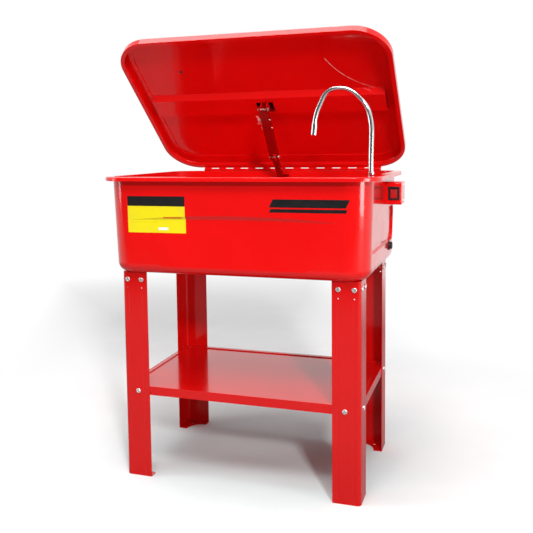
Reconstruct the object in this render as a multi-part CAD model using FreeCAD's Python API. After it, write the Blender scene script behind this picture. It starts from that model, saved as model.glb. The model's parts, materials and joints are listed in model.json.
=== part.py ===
"""Parts washer tank: a pressed steel tub on four angle legs, with a hinged lid, a folding lid
stay, a flexible spigot fed by a pump, a switch box, a work shelf and a lower shelf.

Millimetres. The origin is on the floor under the middle of the rim, +Z is up, the front is -Y.
"""
import FreeCAD
import Part
import math
import os

V = FreeCAD.Vector
OUT = "parts"

# --- driving dimensions: tub and rim ---
rim_width = 776.0
rim_depth = 550.0
rim_height = 860.0
rim_lip = 11.0
rim_corner = 85.0
rim_roll = 3.0
rim_flange = 21.5
tub_depth = 267.0
wall_taper = 7.0
tub_corner = 62.0
tub_bottom_radius = 28.0
sheet = 1.5
press_depth = 7.0
press_ledge = 11.0
press_drop = 103.0
press_half_width = 300.0
press_arch_drop = 14.4
press_foot = 12.0
press_side_depth = 6.0
side_press_half = 195.0
side_press_drop = 100.0
side_press_height = 104.0
side_press_corner = 30.0

# --- legs and lower shelf ---
leg_inset_x = 49.0
leg_inset_y = 55.0
leg_flange = 76.0
leg_sheet = 2.0
leg_corner = 10.0
bead_inset = 17.0
bead_foot = 14.0
bead_radius = 5.0
bead_depth = 0.8
bead_drop = 58.0
foot_hole_inset = 30.0
foot_hole_radius = 5.0
foot_cutout = 50.0
bracket_drop = 40.0
bracket_flange = 68.0
leg_bolt_inset = 17.0
leg_bolt_drop = 22.0
spare_hole_drop = 46.0
spare_hole_radius = 1.8
shelf_height = 265.0
shelf_edge = 25.0
shelf_border = 14.0
shelf_dish = 3.0
shelf_bolt_drop = 15.0
shelf_bolt_inset = 42.0

# --- fasteners ---
bolt_radius = 3.0
bolt_hole_play = 0.3
bolt_head_radius = 6.8
bolt_head_height = 3.4
bolt_tail = 2.0
bolt_recess_width = 1.3
nut_flats = 10.0
nut_height = 5.0
rivet_radius = 2.0
rivet_head_radius = 4.0
rivet_head_height = 1.4

# --- hinge ---
hinge_rise = 3.0
hinge_knuckle = 26.05
hinge_knuckles = 23
hinge_shift = 14.5
hinge_barrel = 3.5
hinge_pin_radius = 1.5
hinge_play = 0.05
hinge_gap = 0.4
hinge_leaf = 1.5
hinge_leaf_width = 14.0
hinge_slot = 5.6
hinge_plate_drop = 1.0
hinge_rivets = 8
hinge_rivet_margin = 30.0
seat_gap = 0.35

# --- lid ---
lid_overhang = 9.0
lid_nose = 13.0
lid_lift = 6.5
lid_rise = 25.0
lid_corner = 102.0
lid_edge_radius = 6.0
lid_hem = 12.0
lid_border = 35.0
lid_panel_rise = 3.0
lid_panel_corner = 60.0
lid_open_angle = 40.0
stiffener_gap = 45.0
stiffener_width = 83.0
stiffener_depth = 15.0
stiffener_slope = 14.0
stiffener_inset = 2.0
window_half = 26.0
window_length = 42.0
window_gap = 1.5

# --- lid stay ---
stay_lid_reach = 296.0
stay_lid_drop = 7.0
stay_anchor_inset = 38.5
stay_anchor_drop = 30.0
stay_knee_inset = 118.5
stay_knee_rise = 46.0
stay_slot_travel = 26.0
stay_slot_lean = 0.43
arm_width = 26.0
arm_depth = 18.0
arm_sheet = 2.0
arm_gap = 0.5
lower_arm_width = 17.0
lower_arm_depth = 13.0
pivot_radius = 3.0
pivot_play = 0.05
pivot_head_radius = 5.5
pivot_head_height = 2.5
slot_play = 1.9
arm_end_radius = 9.0
ear_sheet = 2.5
ear_radius = 5.3
spacer_radius = 4.5
clevis_length = 32.0
link_stud_distance = 39.0
link_spacing = 30.0
link_width = 14.0
link_sheet = 2.0
stud_radius = 2.5
stud_tail = 2.5
wing_span = 30.0
wing_hub_length = 8.0
wing_hub_radius = 5.5
wing_sheet = 2.5

# --- spigot ---
spigot_wall_gap = 22.2
spigot_front = 100.0
spigot_pivot_drop = 12.0
spigot_radius = 6.4
spigot_reach = 155.0
spigot_rise = 243.0
spigot_bore = 3.0
nozzle_radius = 7.8
nozzle_length = 30.0
nozzle_overlap = 7.5
swivel_width = 12.4
swivel_gap = 0.4
spigot_pin_radius = 2.5
spigot_ear = 2.5
fitting_radius = 13.0
bracket_sheet = 2.5
spigot_bracket_half = 22.0
barb_radius = 4.5
hose_radius = 6.0
hose_bend = 52.0
hose_start = 9.0

# --- pump and its lead ---
pump_x = 262.0
pump_y = 88.0
pump_length = 86.0
pump_width = 66.0
pump_height = 72.0
strainer_height = 14.0
strainer_lip = 5.0
lead_radius = 3.2

# --- work shelf ---
tray_left = 284.0
tray_right = 92.0
tray_sheet = 1.5
tray_edge = 10.0
tray_ledge_reach = 3.0
tray_hole_radius = 5.0
tray_hole_pitch = 36.0
tray_hole_margin = 30.0

# --- switch box ---
box_front = 26.0
box_length = 74.0
box_out = 43.0
box_drop = 25.0
box_height = 64.0
box_sheet = 1.5
box_corner = 6.0
box_edge = 3.0
bezel_width = 31.0
bezel_height = 38.0
bezel_proud = 2.0
switch_width = 23.0
switch_body_height = 31.0
switch_body_depth = 20.0
rocker_width = 18.0
rocker_half_height = 12.5
rocker_gap = 0.9
rocker_proud = 3.0
rocker_pivot_depth = 4.0
rocker_tilt = 7.0
rocker_axle_radius = 1.5
gland_radius = 9.0
gland_length = 16.0
gland_bore = 4.0
grommet_radius = 9.0
grommet_lip = 2.0

# --- drain ---
drain_back = 122.0
drain_rise = 50.0
drain_bore = 7.5
drain_tube = 10.0
drain_flange = 14.0
drain_flange_thick = 2.5
drain_inner_length = 8.0
plug_gap = 0.3
plug_head_radius = 10.5
plug_head = 7.0

# --- graphics ---
film = 0.25
film_seat = 0.15
label_inset = 67.0
label_width = 170.0
label_drop = 52.0
label_height = 100.0
stripe_inset = 60.0
stripe_width = 200.0
stripe_drop = 57.0
stripe_height = 21.0
stripe_gap = 4.0
stripe_thin = 9.0

# --- derived places ---
leg_half_x = rim_width / 2 - leg_inset_x
leg_half_y = rim_depth / 2 - leg_inset_y
tub_top_x = rim_width / 2 - rim_flange
tub_top_y = rim_depth / 2 - rim_flange
tub_floor = rim_height - tub_depth
pin_y = rim_depth / 2 + hinge_barrel
pin_z = rim_height + hinge_rise
lid_base = pin_z + lid_lift
lid_half_x = rim_width / 2 + lid_overhang
lid_front = -(rim_depth / 2 + lid_nose)
lid_back = rim_depth / 2
lid_border_z = lid_base + lid_rise - lid_panel_rise
lid_panel_z = lid_base + lid_rise
hinge_left = hinge_shift - hinge_knuckle * hinge_knuckles / 2
hinge_right = hinge_left + hinge_knuckle * hinge_knuckles
anchor_y = pin_y - stay_anchor_inset
anchor_z = rim_height - stay_anchor_drop
knee_y = pin_y - stay_knee_inset
knee_z = rim_height + stay_knee_rise
spigot_z = rim_height - spigot_pivot_drop
bolt_hole_radius = bolt_radius + bolt_hole_play


def wall_x(z):
    """Outer face of the tub's side walls at height z."""
    return tub_top_x - wall_taper * (rim_height - z) / tub_depth


def wall_y(z):
    """Outer face of the tub's front and back walls at height z."""
    return tub_top_y - wall_taper * (rim_height - z) / tub_depth


spigot_x = wall_x(spigot_z) - spigot_wall_gap
spigot_y = -spigot_front
drain_z = tub_floor + drain_rise
press_top = rim_height - press_drop
press_run = math.hypot(press_depth, press_ledge)


# --- small makers ---
def block(x0, x1, y0, y1, z0, z1):
    return Part.makeBox(x1 - x0, y1 - y0, z1 - z0, V(x0, y0, z0))


def rod(radius, start, end):
    direction = end - start
    return Part.makeCylinder(radius, direction.Length, start, direction)


def rod_x(radius, x0, x1, y, z):
    return rod(radius, V(x0, y, z), V(x1, y, z))


def rod_y(radius, y0, y1, x, z):
    return rod(radius, V(x, y0, z), V(x, y1, z))


def rod_z(radius, z0, z1, x, y):
    return rod(radius, V(x, y, z0), V(x, y, z1))


def joined(shapes):
    return shapes[0].multiFuse(shapes[1:]).removeSplitter()


def lengths(edge):
    box = edge.BoundBox
    return {"x": box.XLength, "y": box.YLength, "z": box.ZLength}


def edges_along(shape, axis):
    """The edges that run mostly along one axis."""
    found = []
    for edge in shape.Edges:
        size = lengths(edge)
        if size[axis] > 0.9 * edge.Length and size[axis] > 0.1:
            found.append(edge)
    return found


def edges_at_height(shape, z):
    found = []
    for edge in shape.Edges:
        box = edge.BoundBox
        if abs(box.ZMin - z) < 0.01 and abs(box.ZMax - z) < 0.01:
            found.append(edge)
    return found


def edges_at_side(shape, x):
    found = []
    for edge in shape.Edges:
        box = edge.BoundBox
        if abs(box.XMin - x) < 0.01 and abs(box.XMax - x) < 0.01:
            found.append(edge)
    return found


def upright_edge(shape, x, y):
    """The upright edge nearest to the line through x, y."""
    return min(edges_along(shape, "z"), key=lambda e: (e.CenterOfMass - V(x, y, e.CenterOfMass.z)).Length)


def rounded(x0, x1, y0, y1, z0, z1, corner, axis="z"):
    """A block whose edges along one axis are rounded."""
    plate = block(x0, x1, y0, y1, z0, z1)
    return plate.makeFillet(corner, edges_along(plate, axis))


def centred(half_x, half_y, z0, z1, corner):
    return rounded(-half_x, half_x, -half_y, half_y, z0, z1, corner)


def tilted(shape, angle, y, z):
    """Raises the end of a shape that points to -Y by angle, about an X axis through y, z."""
    copy = shape.copy()
    copy.rotate(V(0, y, z), V(1, 0, 0), -angle)
    return copy


def aimed(shape, point, direction):
    """Turns a shape made along +Z to a direction and moves its origin to a point."""
    copy = shape.copy()
    copy.Placement = FreeCAD.Placement(point, FreeCAD.Rotation(V(0, 0, 1), direction))
    return copy


def mirrored(shape, side_x, side_y):
    """Copies a shape from the +X, +Y quarter into another one."""
    copy = shape.copy()
    if side_x < 0:
        copy = copy.mirror(V(0, 0, 0), V(1, 0, 0))
    if side_y < 0:
        copy = copy.mirror(V(0, 0, 0), V(0, 1, 0))
    return copy


def bolt(grip):
    """Round-headed bolt along +Z: its head lies below zero and it grips upwards."""
    head = rod_z(bolt_head_radius, -bolt_head_height, 0, 0, 0)
    head = head.makeFillet(bolt_head_height * 0.6, edges_at_height(head, -bolt_head_height))
    reach = bolt_head_radius * 0.55
    half = bolt_recess_width / 2
    recess = block(-reach, reach, -half, half, -bolt_head_height, -bolt_head_height * 0.5)
    cross = block(-half, half, -reach, reach, -bolt_head_height, -bolt_head_height * 0.5)
    shank = rod_z(bolt_radius, 0, grip + nut_height + bolt_tail, 0, 0)
    return joined([head, shank]).cut(recess.fuse(cross))


def nut(grip):
    """Hexagon nut along +Z, seated at the end of the grip."""
    corner = nut_flats / 2 / math.cos(math.radians(30))
    points = []
    for k in range(7):
        turn = math.radians(60 * k + 30)
        points.append(V(corner * math.cos(turn), corner * math.sin(turn), grip))
    prism = Part.Face(Part.makePolygon(points)).extrude(V(0, 0, nut_height))
    return prism.cut(rod_z(bolt_radius, grip, grip + nut_height, 0, 0))


def rivet(grip):
    """Rivet along +Z with a head at both ends of the grip."""
    head = rod_z(rivet_head_radius, -rivet_head_height, 0, 0, 0)
    head = head.makeFillet(rivet_head_height * 0.7, edges_at_height(head, -rivet_head_height))
    tail = rod_z(rivet_head_radius * 0.8, grip, grip + rivet_head_height, 0, 0)
    return joined([head, rod_z(rivet_radius, 0, grip, 0, 0), tail])


def pivot(half_grip, y, z):
    """Headed pivot pin along X, centred on the middle plane."""
    shank = rod_x(pivot_radius, -half_grip, half_grip, y, z)
    right = rod_x(pivot_head_radius, half_grip, half_grip + pivot_head_height, y, z)
    left = rod_x(pivot_head_radius, -half_grip - pivot_head_height, -half_grip, y, z)
    return joined([shank, right, left])


def cord_route(points):
    """Straight runs joined by tangent arcs, each as large as its two runs allow."""
    edges = []
    start = points[0]
    for before, corner, after in zip(points, points[1:], points[2:]):
        run_in = corner - before
        run_out = after - corner
        turn = run_in.getAngle(run_out)
        reach = 0.45 * min(run_in.Length, run_out.Length)
        radius = reach / math.tan(turn / 2)
        unit_in = V(run_in).normalize()
        unit_out = V(run_out).normalize()
        arc_start = corner - unit_in * reach
        arc_end = corner + unit_out * reach
        inward = (unit_out - unit_in).normalize()
        centre = corner + inward * (radius / math.cos(turn / 2))
        middle = centre - inward * radius
        edges.append(Part.LineSegment(start, arc_start).toShape())
        edges.append(Part.Arc(arc_start, middle, arc_end).toShape())
        print("bend radius", round(radius, 1))
        start = arc_end
    edges.append(Part.LineSegment(start, points[-1]).toShape())
    return Part.Wire(edges)


def quarter_turn(start, first, second, radius):
    """Three corners that turn a route from the first direction into the second."""
    step = radius * math.tan(math.radians(15))
    corners = [start + first * step]
    for turn in (30, 60):
        share = math.radians(turn)
        heading = first * math.cos(share) + second * math.sin(share)
        corners.append(corners[-1] + heading * (2 * step))
    return corners


def tube(points, radius, bore=0.0):
    """A round tube along a route, hollow where a bore is given."""
    path = cord_route(points)
    first = points[0]
    direction = points[1] - first
    solid = path.makePipeShell([Part.Wire(Part.makeCircle(radius, first, direction))], True, False)
    if bore:
        hole = path.makePipeShell([Part.Wire(Part.makeCircle(bore, first, direction))], True, False)
        solid = solid.cut(hole)
    return solid


# --- tub ---
def tub_block(inset, floor, top, corner, foot):
    """Tapered block that follows the tub's walls, set in from them by inset."""
    low_x = wall_x(floor) - inset
    low_y = wall_y(floor) - inset
    high_x = wall_x(top) - inset
    high_y = wall_y(top) - inset
    rings = []
    for x, y, z in ((low_x, low_y, floor), (high_x, high_y, top)):
        ring = [V(-x, -y, z), V(x, -y, z), V(x, y, z), V(-x, y, z), V(-x, -y, z)]
        rings.append(Part.makePolygon(ring))
    solid = Part.makeLoft(rings, True, True)
    if corner:
        solid = solid.makeFillet(corner, edges_along(solid, "z"))
    if foot:
        solid = solid.makeFillet(foot, edges_at_height(solid, floor))
    return solid


def press_arch(grow):
    """Everything under the press's ledge, which slopes inwards and is arched along the wall."""
    radius = press_half_width ** 2 * press_run / (2 * press_arch_drop * press_depth)
    across = V(0, press_ledge / press_run, press_depth / press_run)
    down = V(0, press_depth / press_run, -press_ledge / press_run)
    middle = V(0, -wall_y(press_top), press_top) - across * radius
    return rod(radius + grow, middle - down * rim_height, middle + down * rim_height)


def press_scoop(grow):
    """What the front press takes: shallow towards its ends and its foot, under its arched ledge."""
    foot = tub_floor + press_foot
    deep = wall_y(press_top) - press_depth - grow
    heel = press_top - press_ledge + grow * (press_run - press_ledge) / press_depth
    profile = [
        V(0, -rim_depth, foot),
        V(0, -rim_depth, rim_height),
        V(0, -deep, rim_height),
        V(0, -deep, heel),
        V(0, -wall_y(foot) + grow, foot),
        V(0, -rim_depth, foot),
    ]
    half = press_half_width + rim_corner
    slab = Part.Face(Part.makePolygon(profile)).extrude(V(2 * half, 0, 0))
    slab.translate(V(-half, 0, 0))
    bow = (press_half_width ** 2 + press_depth ** 2) / (2 * press_depth)
    axis = V(0, -deep - bow, 0)
    bowed = rod(bow, axis + V(0, 0, tub_floor - rim_height), axis + V(0, 0, rim_height * 1.5))
    return slab.common(bowed).common(press_arch(grow))


def wall_presses(grow):
    """What the pressed panels take from the walls, grown by one sheet for the inner face."""
    front = press_scoop(grow)
    half = side_press_half + grow
    top = rim_height - side_press_drop + grow
    foot = rim_height - side_press_drop - side_press_height - grow
    sides = rounded(-rim_width, rim_width, -half, half, foot, top, side_press_corner + grow, "x")
    core = tub_block(press_side_depth + grow, tub_floor - rim_height / 2, rim_height * 1.5, 0, 0)
    return [front, front.mirror(V(0, 0, 0), V(0, 1, 0)), sides.cut(core)]


def tub_outside():
    solid = tub_block(0, tub_floor, rim_height, tub_corner, tub_bottom_radius)
    return solid.cut(wall_presses(0))


def tub_inside():
    above = rim_height + rim_flange
    solid = tub_block(sheet, tub_floor + sheet, above, tub_corner - sheet, tub_bottom_radius - sheet)
    return solid.cut(wall_presses(sheet))


def rim():
    low = rim_height - rim_lip
    outer = centred(rim_width / 2, rim_depth / 2, low, rim_height, rim_corner)
    outer = outer.makeFillet(rim_roll, edges_at_height(outer, rim_height))
    under_x = rim_width / 2 - sheet
    under_y = rim_depth / 2 - sheet
    under = centred(under_x, under_y, low - sheet, rim_height - sheet, rim_corner - sheet)
    under = under.makeFillet(rim_roll - sheet, edges_at_height(under, rim_height - sheet))
    return outer.cut(under)


def hinge_rivet_places():
    step = (hinge_right - hinge_left - 2 * hinge_rivet_margin) / (hinge_rivets - 1)
    return [hinge_left + hinge_rivet_margin + step * k for k in range(hinge_rivets)]


def lip_rivet_z():
    return rim_height - rim_lip / 2


def tank(inside):
    shell = tub_outside().fuse(rim()).cut(inside)
    holes = []
    for x in hinge_rivet_places():
        holes.append(rod_y(rivet_radius, lid_back - rim_roll, lid_back + 1, x, lip_rivet_z()))
    start = tub_top_x - 2 * rim_flange
    holes.append(rod_x(drain_tube, start, rim_width / 2, drain_back, drain_z))
    holes.append(rod_x(grommet_radius, start, rim_width / 2, grommet_y(), grommet_z()))
    return shell.cut(holes).removeSplitter()


# --- legs, brackets and lower shelf ---
def leg_holes(radius, z, insets, reach):
    """Holes through both flanges of the leg in the +X, +Y quarter."""
    holes = []
    for inset in insets:
        y = leg_half_y - inset
        x = leg_half_x - inset
        holes.append(rod_x(radius, leg_half_x - reach, leg_half_x + 1, y, z))
        holes.append(rod_y(radius, leg_half_y - reach, leg_half_y + 1, x, z))
    return holes


def leg_bolt_insets():
    return [leg_bolt_inset, leg_flange - leg_bolt_inset]


def leg_bolt_z():
    return tub_floor - leg_bolt_drop


def shelf_bolt_z():
    return shelf_height - shelf_bolt_drop


def leg():
    """The leg in the +X, +Y quarter, with its folded foot."""
    x0 = leg_half_x - leg_flange
    y0 = leg_half_y - leg_flange
    outer = block(x0, leg_half_x, y0, leg_half_y, 0, tub_floor)
    outer = outer.makeFillet(leg_corner, [upright_edge(outer, leg_half_x, leg_half_y)])
    hollow_x = leg_half_x - leg_sheet
    hollow_y = leg_half_y - leg_sheet
    hollow = block(x0 - 1, hollow_x, y0 - 1, hollow_y, leg_sheet, tub_floor + 1)
    hollow = hollow.makeFillet(leg_corner - leg_sheet, [upright_edge(hollow, hollow_x, hollow_y)])
    cutout = rod_z(foot_cutout, -1, leg_sheet + 1, x0, y0)
    cuts = [hollow, cutout]
    foot_hole = (leg_half_x - foot_hole_inset, leg_half_y - foot_hole_inset)
    cuts.append(rod_z(foot_hole_radius, -1, leg_sheet + 1, *foot_hole))
    cuts += leg_holes(bolt_hole_radius, leg_bolt_z(), leg_bolt_insets(), leg_sheet + 1)
    cuts += leg_holes(spare_hole_radius, tub_floor - spare_hole_drop, leg_bolt_insets(), leg_sheet + 1)
    cuts += leg_holes(bolt_hole_radius, shelf_bolt_z(), [shelf_bolt_inset], leg_sheet + 1)
    bead_out = bead_radius - bead_depth
    for inset in (bead_inset, leg_flange - bead_inset):
        top = tub_floor - bead_drop
        cuts.append(rod_z(bead_radius, bead_foot, top, leg_half_x + bead_out, leg_half_y - inset))
        cuts.append(rod_z(bead_radius, bead_foot, top, leg_half_x - inset, leg_half_y + bead_out))
    return outer.cut(cuts)


def corner_bracket():
    """Angle under the tub floor that the leg is bolted to, in the +X, +Y quarter."""
    x1 = leg_half_x - leg_sheet
    y1 = leg_half_y - leg_sheet
    corner = leg_corner - leg_sheet
    outer = block(x1 - bracket_flange, x1, y1 - bracket_flange, y1, tub_floor - bracket_drop, tub_floor)
    outer = outer.makeFillet(corner, [upright_edge(outer, x1, y1)])
    low = tub_floor - bracket_drop - 1
    hollow = block(0, x1 - leg_sheet, 0, y1 - leg_sheet, low, tub_floor - leg_sheet)
    hollow = hollow.makeFillet(corner - leg_sheet, [upright_edge(hollow, x1 - leg_sheet, y1 - leg_sheet)])
    holes = leg_holes(bolt_hole_radius, leg_bolt_z(), leg_bolt_insets(), 3 * leg_sheet)
    return outer.cut([hollow] + holes)


def fastened(maker, grip, z, insets):
    """Copies of one fastener through both flanges of all four legs."""
    pieces = []
    for side_x in (-1, 1):
        for side_y in (-1, 1):
            for inset in insets:
                out_x = V(side_x * leg_half_x, side_y * (leg_half_y - inset), z)
                out_y = V(side_x * (leg_half_x - inset), side_y * leg_half_y, z)
                pieces.append(aimed(maker(grip), out_x, V(-side_x, 0, 0)))
                pieces.append(aimed(maker(grip), out_y, V(0, -side_y, 0)))
    return Part.makeCompound(pieces)


def lower_shelf():
    half_x = leg_half_x - leg_sheet
    half_y = leg_half_y - leg_sheet
    corner = leg_corner - leg_sheet
    low = shelf_height - shelf_edge
    outer = centred(half_x, half_y, low, shelf_height, corner)
    dish_x = half_x - shelf_border
    dish_y = half_y - shelf_border
    dish_z = shelf_height - shelf_dish
    dish = centred(dish_x, dish_y, dish_z, shelf_height + 1, corner)
    under = centred(half_x - sheet, half_y - sheet, low - 1, shelf_height - sheet, corner - sheet)
    boss = centred(dish_x + sheet, dish_y + sheet, dish_z - sheet, shelf_height, corner + sheet)
    shelf = outer.cut([dish, under.cut(boss)])
    holes = []
    reach = leg_sheet + sheet + 1
    for hole in leg_holes(bolt_hole_radius, shelf_bolt_z(), [shelf_bolt_inset], reach):
        for side_x in (-1, 1):
            for side_y in (-1, 1):
                holes.append(mirrored(hole, side_x, side_y))
    return shelf.cut(holes)


# --- hinge ---
def hinge_leaf_shape(first, plate_low, plate_high, rivet_z):
    """One leaf with every second knuckle, in the closed position."""
    back = lid_back + hinge_leaf
    pieces = [block(hinge_left, hinge_right, lid_back, back, plate_low, plate_high)]
    for k in range(first, hinge_knuckles, 2):
        x0 = hinge_left + hinge_knuckle * k + hinge_gap / 2
        x1 = x0 + hinge_knuckle - hinge_gap
        low = min(pin_z, plate_high)
        high = max(pin_z, plate_low)
        pieces.append(block(x0, x1, lid_back, back, low, high))
        pieces.append(rod_x(hinge_barrel, x0, x1, pin_y, pin_z))
    leaf = joined(pieces)
    cuts = [rod_x(hinge_pin_radius + hinge_play, hinge_left - 1, hinge_right + 1, pin_y, pin_z)]
    for x in hinge_rivet_places():
        cuts.append(rod_y(rivet_radius, lid_back - 1, back + 1, x, rivet_z))
    return leaf.cut(cuts)


def hinge_leaf_tank():
    high = rim_height - hinge_plate_drop
    return hinge_leaf_shape(1, high - hinge_leaf_width, high, lip_rivet_z())


def lid_rivet_z():
    return pin_z + hinge_slot + hinge_leaf_width / 2


def hinge_leaf_lid():
    low = pin_z + hinge_slot
    return hinge_leaf_shape(0, low, low + hinge_leaf_width, lid_rivet_z())


def hinge_rivets_at(z):
    rivets = []
    for x in hinge_rivet_places():
        rivets.append(aimed(rivet(sheet + hinge_leaf), V(x, lid_back + hinge_leaf, z), V(0, -1, 0)))
    return Part.makeCompound(rivets)


def hinge_pin():
    return rod_x(hinge_pin_radius, hinge_left, hinge_right, pin_y, pin_z)


# --- lid, modelled closed and flat, then opened ---
def opened(shape):
    return tilted(shape, lid_open_angle, pin_y, pin_z)


def lid_pan(inset, low, top, corner, radius):
    x = lid_half_x - inset
    pan = rounded(-x, x, lid_front + inset, lid_back - inset, low, top, corner)
    return pan.makeFillet(radius, edges_at_height(pan, top))


def lid_panel(inset, low, top):
    x = lid_half_x - lid_border + inset
    y0 = lid_front + lid_border - inset
    y1 = lid_back - lid_border + inset
    return rounded(-x, x, y0, y1, low, top, lid_panel_corner + inset)


def lid():
    outer = lid_pan(0, lid_base, lid_border_z, lid_corner, lid_edge_radius)
    outer = outer.fuse(lid_panel(0, lid_border_z - sheet, lid_panel_z))
    under_top = lid_border_z - sheet
    under = lid_pan(sheet, lid_base + sheet, under_top, lid_corner - sheet, lid_edge_radius - sheet)
    under = under.fuse(lid_panel(-sheet, under_top - sheet, lid_panel_z - sheet))
    x = lid_half_x - lid_hem
    y0 = lid_front + lid_hem
    y1 = lid_back - lid_hem
    mouth = rounded(-x, x, y0, y1, lid_base - 1, lid_base + 2 * sheet, lid_corner - lid_hem)
    cuts = [under, mouth]
    for x in hinge_rivet_places():
        cuts.append(rod_y(rivet_radius, lid_back - 2 * sheet, lid_back + 1, x, lid_rivet_z()))
    return outer.cut(cuts).removeSplitter()


def hat(inset, x0, x1, top):
    """Trapezoid hat section across the lid."""
    start = clevis_pin_y() + stiffener_gap
    y_back = start - inset
    y_front = start - stiffener_width + inset
    low = top - stiffener_depth + inset
    points = [
        V(x0, y_back, top),
        V(x0, y_back - stiffener_slope * 0.2, low),
        V(x0, y_front + stiffener_slope, low),
        V(x0, y_front, top),
        V(x0, y_back, top),
    ]
    return Part.Face(Part.makePolygon(points)).extrude(V(x1 - x0, 0, 0))


def lid_under_z():
    return lid_panel_z - sheet


def lid_stiffener():
    half = lid_half_x - lid_border - stiffener_inset
    solid = hat(0, -half, half, lid_under_z())
    hollow = hat(sheet, -half - 1, half + 1, lid_under_z())
    y0 = clevis_pin_y() - ear_radius - window_gap
    window = block(-window_half, window_half, y0, y0 + window_length, pin_z, lid_under_z())
    return solid.cut([hollow, window])


def clevis_pin_y():
    return pin_y - stay_lid_reach


def clevis_pin_z():
    return pin_z - stay_lid_drop


def stay_clevis():
    """Two ears under the lid that carry the stay's upper pivot, in the closed position."""
    y = clevis_pin_y()
    z = clevis_pin_z()
    top = lid_under_z()
    outer = arm_width / 2 - arm_sheet - arm_gap
    inner = outer - ear_sheet
    front = y - ear_radius
    back = front + clevis_length
    base = block(-outer, outer, front, back, top - ear_sheet, top)
    pieces = [base]
    for x0 in (-outer, inner):
        points = [
            V(x0, front, top),
            V(x0, front, z),
            V(x0, y + ear_radius, z),
            V(x0, back, top),
            V(x0, front, top),
        ]
        pieces.append(Part.Face(Part.makePolygon(points)).extrude(V(ear_sheet, 0, 0)))
        pieces.append(rod_x(ear_radius, x0, x0 + ear_sheet, y, z))
    return joined(pieces).cut(rod_x(pivot_radius, -outer - 1, outer + 1, y, z))


def stay_clevis_pin():
    return pivot(arm_width / 2 + arm_gap, clevis_pin_y(), clevis_pin_z())


# --- lid stay ---
def clevis_point():
    """The upper pivot with the lid open."""
    turn = math.radians(lid_open_angle)
    y = pin_y - stay_lid_reach * math.cos(turn) - stay_lid_drop * math.sin(turn)
    z = pin_z + stay_lid_reach * math.sin(turn) - stay_lid_drop * math.cos(turn)
    return y, z


def upper_length():
    y, z = clevis_point()
    return math.hypot(y - knee_y, z - knee_z)


def upper_angle():
    """The arm leans a little past the line of its pins, which halves the play that its slot needs."""
    y, z = clevis_point()
    return math.degrees(math.atan2(z - knee_z, knee_y - y)) + stay_slot_lean


def lower_length():
    return math.hypot(knee_y - anchor_y, knee_z - anchor_z)


def lower_angle():
    return math.degrees(math.atan2(knee_z - anchor_z, anchor_y - knee_y))


def arm_channel(width, depth, length, end_radius, web_start, web_end):
    """A channel arm from a pivot at the origin to one at -Y, open at its upper side."""
    half = width / 2
    pieces = []
    for x0 in (-half, half - arm_sheet):
        pieces.append(block(x0, x0 + arm_sheet, -length, 0, -depth / 2, depth / 2))
        pieces.append(rod_x(end_radius, x0, x0 + arm_sheet, 0, 0))
        pieces.append(rod_x(end_radius, x0, x0 + arm_sheet, -length, 0))
    low = -depth / 2
    pieces.append(block(-half, half, -web_end, -web_start, low, low + arm_sheet))
    return joined(pieces)


def placed_arm(shape, angle, y, z):
    copy = tilted(shape, angle, 0, 0)
    copy.translate(V(0, y, z))
    return copy


def stay_upper_arm():
    length = upper_length()
    web_start = 2 * arm_end_radius
    arm = arm_channel(arm_width, arm_depth, length, arm_end_radius, web_start, length)
    slot_radius = pivot_radius + slot_play
    start = length - stay_slot_travel
    half = arm_width / 2 + 1
    cuts = [
        rod_x(slot_radius, -half, half, -length, 0),
        rod_x(slot_radius, -half, half, -start, 0),
        block(-half, half, -length, -start, -slot_radius, slot_radius),
        rod_x(pivot_radius + pivot_play, -half, half, 0, 0),
    ]
    for distance in link_stud_places():
        cuts.append(rod_x(stud_radius, -half, half, -distance, 0))
    return placed_arm(arm.cut(cuts), upper_angle(), knee_y, knee_z)


def link_stud_places():
    first = upper_length() - link_stud_distance
    return [first, first - link_spacing]


def link_studs():
    """Two studs through the upper arm, one long enough for the wing nut."""
    near, far = link_stud_places()
    right = arm_width / 2 + stud_tail
    left = -arm_width / 2 - link_sheet
    long_stud = rod_x(stud_radius, left - wing_hub_length - stud_tail, right, -near, 0)
    short_stud = rod_x(stud_radius, left - 2 * stud_tail, right, -far, 0)
    studs = Part.makeCompound([long_stud, short_stud])
    return placed_arm(studs, upper_angle(), knee_y, knee_z)


def fusible_link():
    near, far = link_stud_places()
    left = -arm_width / 2
    pieces = [block(left - link_sheet, left, -near, -far, -link_width / 2, link_width / 2)]
    for distance in (near, far):
        pieces.append(rod_x(link_width / 2, left - link_sheet, left, -distance, 0))
    plate = joined(pieces)
    cuts = [rod_x(stud_radius, left - link_sheet - 1, left + 1, -d, 0) for d in (near, far)]
    return placed_arm(plate.cut(cuts), upper_angle(), knee_y, knee_z)


def wing_nut():
    near = link_stud_places()[0]
    x1 = -arm_width / 2 - link_sheet
    x0 = x1 - wing_hub_length
    half = wing_sheet / 2
    root = wing_hub_radius * 0.6
    hub = rod_x(wing_hub_radius, x0, x1, -near, 0)
    points = [
        V(0, -near - root, -half),
        V(0, -near + root, -half),
        V(-wing_hub_length * 0.5, -near + wing_span / 2, -half),
        V(-wing_hub_length * 1.8, -near + wing_span / 2, -half),
        V(-wing_hub_length * 0.9, -near, -half),
        V(-wing_hub_length * 1.8, -near - wing_span / 2, -half),
        V(-wing_hub_length * 0.5, -near - wing_span / 2, -half),
        V(0, -near - root, -half),
    ]
    wings = Part.Face(Part.makePolygon(points)).extrude(V(0, 0, wing_sheet))
    wings.translate(V(x1, 0, 0))
    whole = joined([hub, wings]).cut(rod_x(stud_radius, x0 - wing_hub_length, x1 + 1, -near, 0))
    return placed_arm(whole, upper_angle(), knee_y, knee_z)


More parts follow.
